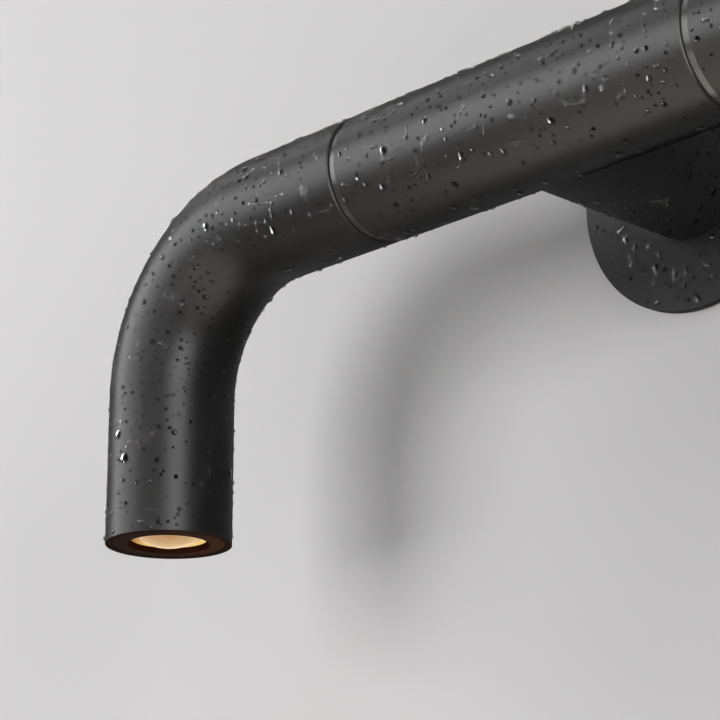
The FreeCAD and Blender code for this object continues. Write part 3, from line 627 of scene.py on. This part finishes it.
def lookFrom(azimuth, elevation):
    # degrees: azimuth from the wall's normal towards +X, elevation from level
    a, e = math.radians(azimuth), math.radians(elevation)
    return Vector((math.sin(a) * math.cos(e), -math.cos(a) * math.cos(e), math.sin(e)))


def setObject(name, data, location, back):
    # back points from what the object looks at to the object
    made = bpy.data.objects.new(name, data)
    made.location = location
    made.rotation_mode = "QUATERNION"
    made.rotation_quaternion = (-back).to_track_quat("-Z", "Y")
    bpy.context.scene.collection.objects.link(made)
    return made


def makeCamera():
    back = lookFrom(camera["azimuth"], camera["elevation"])
    right = Vector((0, 0, 1)).cross(back).normalized()
    up = back.cross(right)
    data = bpy.data.cameras.new("camera")
    data.lens = camera["lens"]
    data.sensor_width = camera["sensor"]
    centre = Vector((0, tube["axisY"], 0))
    location = centre + back * camera["distance"] + right * camera["aside"] + up * camera["above"]
    bpy.context.scene.camera = setObject("camera", data, location, back)


makeCamera()


# Studio: pale wall and floor that are clear from behind, and soft lights

studio = {
    "wallColour": (0.690, 0.680, 0.681, 1),
    "floorColour": (0.66, 0.655, 0.65, 1),
    "clouds": 3.0,  # scale of the noise in the paint
    "cloudFade": (0.3, 0.7),
    "cloudShade": (0.985, 1.0),
    "wallGap": 0.0004,
    "opening": 0.0505,  # behind the plate, for the light that shows its back
    "openingRays": 48,  # an even number, so that none is level
    "floorDepth": 0.9,
    "reach": 1.6,
    "height": 1.3,
    "aimX": -0.1,  # the lights stand round this place on the cross tube's axis
    "lightDistance": 1.6,
}
worldLook = {  # strengths of a pale grey
    "colour": (0.9, 0.9, 0.9, 1),
    "lights": 0.08,
    "mirrored": 0.15,  # in gloss and through water
    "shown": 0.7,  # to the camera
}


def makePaint(name, colour):
    # faintly clouded, and clear where it is seen from behind
    material, tree, output, place = blank(name)
    clouds = addNoise(tree, place, studio["clouds"], detail=2.0)
    shade = mapRange(tree, clouds, *studio["cloudFade"], *studio["cloudShade"])
    tint = addNode(tree, "VectorMath", {0: colour[:3], "Scale": shade}, operation="SCALE")
    front = addNode(tree, "BsdfDiffuse", {"Color": tint.outputs[0], "Roughness": 0.0})
    clear = addNode(tree, "BsdfTransparent")
    behind = addNode(tree, "NewGeometry").outputs["Backfacing"]
    mixed = addNode(tree, "MixShader", {0: behind, 1: front.outputs[0], 2: clear.outputs[0]})
    feed(tree, output.inputs["Surface"], mixed.outputs[0])
    return material


def makeSheet(name, corners, faces, material):
    mesh = bpy.data.meshes.new(name)
    mesh.from_pydata(corners, [], faces)
    mesh.materials.append(material)
    made = bpy.data.objects.new(name, mesh)
    bpy.context.scene.collection.objects.link(made)
    made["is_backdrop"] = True


def openWall(wide, low, high):
    # quads from a circle out to the wall's edges: a ray's outer end is where it meets the nearest edge
    corners = [math.atan2(z, x) for x in (-wide, wide) for z in (low, high)]
    nearlyHalfTurn = 3.1  # a level ray would never meet the upper or the lower edge
    rays = np.linspace(-nearlyHalfTurn, nearlyHalfTurn, studio["openingRays"])
    angle = np.sort(np.concatenate([rays, corners]))
    across, up = np.cos(angle), np.sin(angle)
    reach = np.minimum(wide / np.abs(across), np.where(up > 0, high, low) / up)
    n = len(angle)
    radius = np.concatenate([np.full(n, studio["opening"]), reach])
    depth = np.full(2 * n, studio["wallGap"])
    points = np.stack([radius * np.tile(across, 2), depth, radius * np.tile(up, 2)], axis=1)
    k = np.arange(n)
    after = (k + 1) % n
    faces = np.stack([k, n + k, n + after, after], axis=1)
    return points.tolist(), faces.tolist()


def makeStage():
    w, low, gap = studio["reach"], -studio["floorDepth"], studio["wallGap"]
    corners = [(-w, -2 * w, low), (w, -2 * w, low), (w, gap, low), (-w, gap, low)]
    makeSheet("wall", *openWall(w, low, studio["height"]), makePaint("WallPaint", studio["wallColour"]))
    makeSheet("floor", corners, [(0, 1, 2, 3)], makePaint("FloorPaint", studio["floorColour"]))


# Angles in degrees seen from the light fitting, brightness 1 is a white sheet.
# Lamps light matt surfaces and throw the shadow on the wall. Cards only show in the coat's gloss, on the
# nodes named in only or else on all coated ones. Glints only show in the rain.
lights = {
    "keyLamp": {"azimuth": -28, "elevation": 4, "spread": (35, 34), "brightness": 5.3, "seenIn": "shade"},
    "leftLamp": {"azimuth": -68, "elevation": 20, "spread": (20, 20), "brightness": 7.2, "seenIn": "shade",
                 "distance": 2.2},
    "rightLamp": {"azimuth": 72, "elevation": 7, "spread": (20, 44), "brightness": 6.8, "seenIn": "shade",
                  "distance": 3.0},
    "leftCard": {"azimuth": -45, "elevation": 14, "spread": (58, 36), "brightness": 14.2, "seenIn": "gloss"},
    "crossCard": {"azimuth": -19, "elevation": 12, "spread": (26, 38), "brightness": 13.0, "seenIn": "gloss",
                  "distance": 0.6, "only": ("cross_tube", "arm_tube_right")},
    "frontCard": {"azimuth": 8, "elevation": 2, "spread": (50, 50), "brightness": 5.2, "seenIn": "gloss"},
    "rightCard": {"azimuth": 59, "elevation": -2, "spread": (32, 62), "brightness": 31.0, "seenIn": "gloss"},
    "topCard": {"azimuth": -40, "elevation": 56, "spread": (80, 26), "brightness": 4.2, "seenIn": "gloss"},
    "footCard": {"azimuth": -17, "elevation": -30, "spread": (26, 22), "brightness": 15.0, "seenIn": "gloss",
                 "colour": (1, 0.95, 0.9), "distance": 1.2},
    "lowCard": {"azimuth": -10, "elevation": -70, "spread": (58, 51), "brightness": 9.4, "seenIn": "gloss",
                "colour": (1, 0.91, 0.84), "distance": 0.415,
                "only": ("cross_tube", "arm_tube", "swivel_hub")},
    "backLamp": {"azimuth": 168, "elevation": 14, "spread": (50, 50), "brightness": 3.0, "seenIn": "all"},
    "leftGlint": {"azimuth": -62, "elevation": 20, "spread": (17, 24), "brightness": 70, "seenIn": "rain"},
    "rightGlint": {"azimuth": 76, "elevation": 4, "spread": (15, 40), "brightness": 84, "seenIn": "rain"},
    "topGlint": {"azimuth": -20, "elevation": 64, "spread": (34, 15), "brightness": 72, "seenIn": "rain"},
    "lowGlint": {"azimuth": -56, "elevation": -28, "spread": (30, 16), "brightness": 80, "seenIn": "rain",
                 "distance": 1.0},
}
glossyStems = ("cross_tube", "arm_tube", "wall_plate", "neck_tube", "swivel_hub", "bezel_ring", "lens")


def makeLight(name, look):
    data = bpy.data.lights.new(name, "AREA")
    data.shape = "RECTANGLE"
    away = look.get("distance", studio["lightDistance"])
    wide, high = [2 * away * math.tan(math.radians(angle / 2)) for angle in look["spread"]]
    data.size, data.size_y = wide, high
    data.energy = math.pi * wide * high * look["brightness"]
    data.color = look.get("colour", (1, 1, 1))
    if look["seenIn"] == "rain":
        data.cycles.max_bounces = 1  # so that the beads throw fewer bright lines on the coat
    towards = lookFrom(look["azimuth"], look["elevation"])
    made = setObject(name, data, Vector((studio["aimX"], tube["axisY"], 0)) + towards * away, towards)
    made.visible_camera = False
    made.visible_transmission = False
    made.visible_diffuse = look["seenIn"] in ("shade", "all")
    made.visible_glossy = look["seenIn"] in ("gloss", "rain", "all")
    return made


def aimLight(light, pieces):
    # the light reaches these pieces alone
    group = bpy.data.collections.new(light.name)
    for piece in pieces:
        group.objects.link(piece)
    light.light_linking.receiver_collection = group


def makeWorld():
    # paler where it is looked at than where it lights, and between the two in gloss and through water
    world = bpy.data.worlds.new("studio")
    world.use_nodes = True
    tree = world.node_tree
    path = addNode(tree, "LightPath").outputs
    bent = addMath(tree, "MAXIMUM", path["Is Glossy Ray"], path["Is Transmission Ray"])
    unseen = mapRange(tree, bent, 0.0, 1.0, worldLook["lights"], worldLook["mirrored"])
    strength = mapRange(tree, path["Is Camera Ray"], 0.0, 1.0, unseen, worldLook["shown"])
    back = tree.nodes["Background"].inputs
    feed(tree, back["Color"], worldLook["colour"])
    feed(tree, back["Strength"], strength)
    bpy.context.scene.world = world


makeStage()
lamps = {name: makeLight(name, look) for name, look in lights.items()}
makeWorld()
bpy.context.scene.view_settings.view_transform = "Standard"
print("camera, stage and", len(lights), "lights placed")


# Rain beads on the coat

rain = {
    "seed": 11,
    "sectors": 12,
    "rings": (1.0, 0.94, 0.76, 0.42),  # shares of a bead's outline, from its foot inwards
    "sink": 0.00006,  # of the foot, below the surface
    # beads on a square metre, their middle radius and how much it varies
    "spread": {"perArea": 42000, "radius": 0.00058, "varies": 0.42, "turns": (-math.pi, math.pi)},
    "hanging": {"perArea": 9000, "radius": 0.0012, "varies": 0.28, "turns": (-2.35, -1.35)},
    "large": {"perArea": 1100, "radius": 0.0014, "varies": 0.16, "turns": (-0.7, 1.4)},
    "splashed": {"perArea": 3500, "radius": 0.0012, "varies": 0.25, "turns": (-math.pi, math.pi)},
    "limits": (0.00025, 0.0022),
    "apart": 1.2,  # of the sum of two beads' radii
    "tries": 4,
    "underside": -0.75,  # where the surface faces down more than this, only a share of the beads hangs on
    "clinging": 0.4,
    "height": (0.5, 0.75),  # share of the radius
    "flatter": 0.3,  # the share that a large one loses of its height
    "tallest": 0.0005,  # at the frame's outermost lines
    "largeFrom": 0.0005,  # a bead of this radius is small, one wider by largeOver is large
    "largeOver": 0.0012,
    "tail": 0.45,  # the longest uphill end, in radii
    "headShift": 0.2,  # how far the top moves down a slope, in tails
    "wobble": (0.04, 0.07),  # of every bead's outline, and what a large one has on top
    "edge": 0.0013,  # clear of a tube's ends
    "neckLength": 0.056,  # that gets beads, from the plate
    "neckClear": 0.0035,  # from the cross tube
    "plateEdges": (0.002, 0.0022),  # clear of the neck and of the plate's rim
}
waterLook = {
    "tint": ((0.30, 0.31, 0.32, 1), (0.42, 0.42, 0.42, 1)),  # grey: painted shade of the coat under water, which loses its sheen
    "ripples": 900.0,
    "depth": 0.00001,
    "roughness": 0.02,
}


def onCross(along, turn, lift):
    # a point on a tube along X, from its left end: turn 0 faces the room and a quarter turn faces up
    r = tube["radius"] + lift
    return np.stack([along - tube["crossHalf"], tube["axisY"] - r * np.cos(turn), r * np.sin(turn)], axis=-1)


def onArm(side):
    straight = tube["legX"] - tube["bendRadius"] - tube["armStart"]
    quarter = tube["bendRadius"] * math.pi / 2

    def place(along, turn, lift):
        # the tube's axis runs out, turns down through a quarter circle and then falls straight
        out = np.minimum(along, straight)
        bend = np.clip((along - straight) / tube["bendRadius"], 0, math.pi / 2)
        down = np.maximum(along - straight - quarter, 0)
        r = tube["radius"] + lift
        outwards = tube["bendRadius"] + r * np.sin(turn)
        x = tube["armStart"] + out + outwards * np.sin(bend)
        z = -tube["bendRadius"] + outwards * np.cos(bend) - down
        y = tube["axisY"] - r * np.cos(turn)
        return np.stack([side * x, y + 0 * x, z], axis=-1)

    return place, straight + quarter - tube["legEnd"] - tube["bendRadius"]


def onNeck(along, turn, lift):
    # a point on a tube along Y that starts at the plate
    r = tube["radius"] + lift
    return np.stack([r * np.cos(turn), tube["plateFront"] - along, r * np.sin(turn)], axis=-1)


def onPlate(along, turn, lift):
    # a point on the plate's face, by distance from its middle and angle
    front = tube["plateFront"] - lift + 0 * turn
    return np.stack([along * np.cos(turn), front, along * np.sin(turn)], axis=-1)


def scatter(random, length, radius, kinds):
    # places on the unrolled surface, drawn at random for the largest bead first and kept where none is near
    wanted = []
    for kind in kinds:
        low, high = kind["turns"]
        count = int(kind["perArea"] * length * radius * (high - low))
        spread = np.exp(kind["varies"] * random.standard_normal(count))
        size = np.clip(kind["radius"] * spread, *rain["limits"])
        wanted.append(np.stack([size, np.full(count, low), np.full(count, high)], axis=1))
    wanted = np.concatenate(wanted)
    wanted = wanted[np.argsort(-wanted[:, 0])]
    kept = np.zeros((0, 3))
    for size, low, high in wanted:
        for attempt in range(rain["tries"]):
            here = random.random(2) * (length, (high - low) * radius) + (0, low * radius)
            apart = np.hypot(*(kept[:, :2] - here).T)
            if np.all(apart > rain["apart"] * (kept[:, 2] + size)):
                kept = np.vstack([kept, (*here, size)])
                break
    return kept[:, 0], kept[:, 1] / radius, kept[:, 2]


def slopes(place, along, turn, perTurn):
    # how steep the surface is, and the direction downhill in it: the rise over a small step each way
    step = 0.00001
    level = 0 * along
    here = place(along, turn, level)[:, 2]
    rise = np.stack([
        (place(along + step, turn, level)[:, 2] - here) / step,
        (place(along, turn + step / perTurn, level)[:, 2] - here) / step,
    ], axis=-1)
    steep = np.linalg.norm(rise, axis=1)
    return steep, -rise / np.maximum(steep, 1e-6)[:, None]


def beadGrid(place, along, turn, size, perTurn, random):
    # each bead is half an ellipsoid over an uneven outline that is drawn out uphill, all beads at once as
    # (bead, ring, sector): lift = h * sqrt(1 - share^2), outline = 1 + tail * uphill^3 + two waves round it
    steep, downhill = slopes(place, along, turn, perTurn)
    count = len(along)
    angle = np.linspace(0, 2 * math.pi, rain["sectors"], endpoint=False)[None, :]
    large = np.clip((size - rain["largeFrom"]) / rain["largeOver"], 0, 1)
    tail = steep * large * random.uniform(0.0, rain["tail"], count)
    least, more = rain["wobble"]
    wobble = (least + more * large)[:, None] * random.uniform(-1, 1, (count, 2))
    phase = random.uniform(0, 2 * math.pi, (count, 2))
    outline = 1 + tail[:, None] * np.clip(-np.cos(angle), 0, 1) ** 3
    twoSided = wobble[:, :1] * np.cos(2 * angle + phase[:, :1])
    threeSided = wobble[:, 1:] * np.cos(3 * angle + phase[:, 1:]) / 2
    outline += twoSided + threeSided
    share = np.array(rain["rings"])[None, :, None]
    reach = size[:, None, None] * outline[:, None, :] * share
    shift = tail * size * rain["headShift"]
    lengthwise = reach * np.cos(angle)[:, None, :] + shift[:, None, None] * (1 - share)
    sideways = reach * np.sin(angle)[:, None, :]
    du = lengthwise * downhill[:, 0, None, None] - sideways * downhill[:, 1, None, None]
    dw = lengthwise * downhill[:, 1, None, None] + sideways * downhill[:, 0, None, None]
    tall = size * random.uniform(*rain["height"], count) * (1 - rain["flatter"] * large)
    top = place(along, turn, tall)
    over = np.maximum(cadBox[0].y - top[:, 1], np.abs(top[:, 0]) - cadBox[1].x)
    lowered = np.maximum(tall - over, 0) + rain["tallest"]
    tall = np.where(over > 0, np.minimum(tall, lowered), tall)
    lift = tall[:, None, None] * np.sqrt(1 - share**2) + 0 * du
    lift[:, 0, :] = -rain["sink"]
    body = place(along[:, None, None] + du, turn[:, None, None] + dw / perTurn[:, None, None], lift)
    top = place(along + shift * downhill[:, 0], turn + shift * downhill[:, 1] / perTurn, tall)
    foot = place(along, turn, -2 * rain["sink"] + 0 * along)
    around = np.cross(body[:, 1, 0] - foot, body[:, 1, 1] - foot)
    if np.sum(around * (top - foot)) < 0:  # a mirrored surface turns the beads inside out
        body = body[:, :, ::-1]
    return body, top, foot


def beadMesh(name, batches):
    # rings of quads, a fan on top and a fan under the foot
    sectors, rings = rain["sectors"], len(rain["rings"])
    body, top, foot = [np.concatenate(grids) for grids in zip(*batches)]
    count = len(body)
    each = rings * sectors + 2
    points = np.concatenate([body.reshape(count, -1, 3), top[:, None, :], foot[:, None, :]], axis=1)
    k = np.arange(sectors)
    after = (k + 1) % sectors
    first = sectors * np.arange(rings - 1)[:, None]
    outer, inner = (first + k, first + after), (first + sectors + after, first + sectors + k)
    quads = np.stack([*outer, *inner], axis=-1).reshape(-1, 4)
    last = (rings - 1) * sectors
    caps = np.stack([last + k, last + after, np.full(sectors, each - 2)], axis=1)
    feet = np.stack([after, k, np.full(sectors, each - 1)], axis=1)
    start = (np.arange(count) * each)[:, None, None]
    domes = [*(quads[None] + start).reshape(-1, 4).tolist(), *(caps[None] + start).reshape(-1, 3).tolist()]
    faces = domes + (feet[None] + start).reshape(-1, 3).tolist()
    mesh = bpy.data.meshes.new(name)
    mesh.from_pydata(points.reshape(-1, 3).tolist(), [], faces)
    mesh.polygons.foreach_set("use_smooth", np.arange(len(faces)) < len(domes))
    made = bpy.data.objects.new(name, mesh)
    bpy.context.scene.collection.objects.link(made)
    return made


def makeWater():
    material, tree, output, place = blank("RainWater")
    ripple = addNoise(tree, place, waterLook["ripples"], detail=2.0)
    addPrincipled(tree, output, {
        "Base Color": mixColour(tree, ripple, *waterLook["tint"]),
        "Roughness": waterLook["roughness"],
        "IOR": 1.333,
        "Transmission Weight": 1.0,
        "Normal": addBump(tree, ripple, waterLook["depth"]),
    })
    return material


def tubeBeads(random, place, length):
    # facing is how far up the way out of the surface points, which tells the underside
    kinds = [rain["spread"], rain["hanging"], rain["large"]]
    along, turn, size = scatter(random, length - 2 * rain["edge"], tube["radius"], kinds)
    along = along + rain["edge"]
    facing = (place(along, turn, 1.0) - place(along, turn, 0.0))[:, 2]
    wet = (facing > rain["underside"]) | (random.random(len(along)) < rain["clinging"])
    along, turn, size = along[wet], turn[wet], size[wet]
    return beadGrid(place, along, turn, size, np.full(len(along), tube["radius"]), random)


def neckBeads(random):
    # clear of the cross tube that the neck runs into
    kinds = [rain["spread"], rain["splashed"]]
    along, turn, size = scatter(random, rain["neckLength"], tube["radius"], kinds)
    room = tube["plateFront"] - tube["axisY"] - tube["radius"] * np.abs(np.cos(turn))
    free = along + rain["neckClear"] < room
    along, turn, size = along[free] + rain["edge"], turn[free], size[free]
    return beadGrid(onNeck, along, turn, size, np.full(len(along), tube["radius"]), random)


def plateBeads(random):
    # evenly over the ring of the plate that shows round the neck
    kinds = [rain["spread"], rain["splashed"]]
    fromNeck, fromRim = rain["plateEdges"]
    inner, outer = tube["radius"] + fromNeck, tube["plateRadius"] - fromRim
    share, turn, size = scatter(random, outer - inner, (inner + outer) / 2, kinds)
    along = np.sqrt(inner**2 + (outer**2 - inner**2) * share / (outer - inner))
    return beadGrid(onPlate, along, turn, size, along, random)


def makeRain():
    # one piece for each body, with its beads drawn in this order
    random = np.random.default_rng(rain["seed"])
    water = makeWater()
    crossLength = 2 * tube["crossHalf"]
    bodies = {
        "wall_mount": [tubeBeads(random, onCross, crossLength), neckBeads(random), plateBeads(random)],
        "left_arm": [tubeBeads(random, *onArm(-1))],
        "right_arm": [tubeBeads(random, *onArm(1))],
    }
    pieces = []
    for body, batches in bodies.items():
        made = beadMesh("rain_on_" + body, batches)
        made.data.materials.append(water)
        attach(made, body)
        beads = sum(len(grids[0]) for grids in batches)
        print(made.name, beads, "beads,", len(made.data.polygons), "faces")
        pieces.append(made)
    return pieces


rainPieces = makeRain()
for name, look in lights.items():
    if look["seenIn"] == "rain":
        aimLight(lamps[name], rainPieces)
    elif look["seenIn"] == "gloss":
        stems = look.get("only", glossyStems)
        aimLight(lamps[name], [nodes[piece] for stem in stems for piece in named(stem)])

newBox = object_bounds()
grown = np.maximum(np.subtract(cadBox[0], newBox[0]), np.subtract(newBox[1], cadBox[1]))
print("box grows by", np.round(1000 * grown, 2).tolist(), "mm")
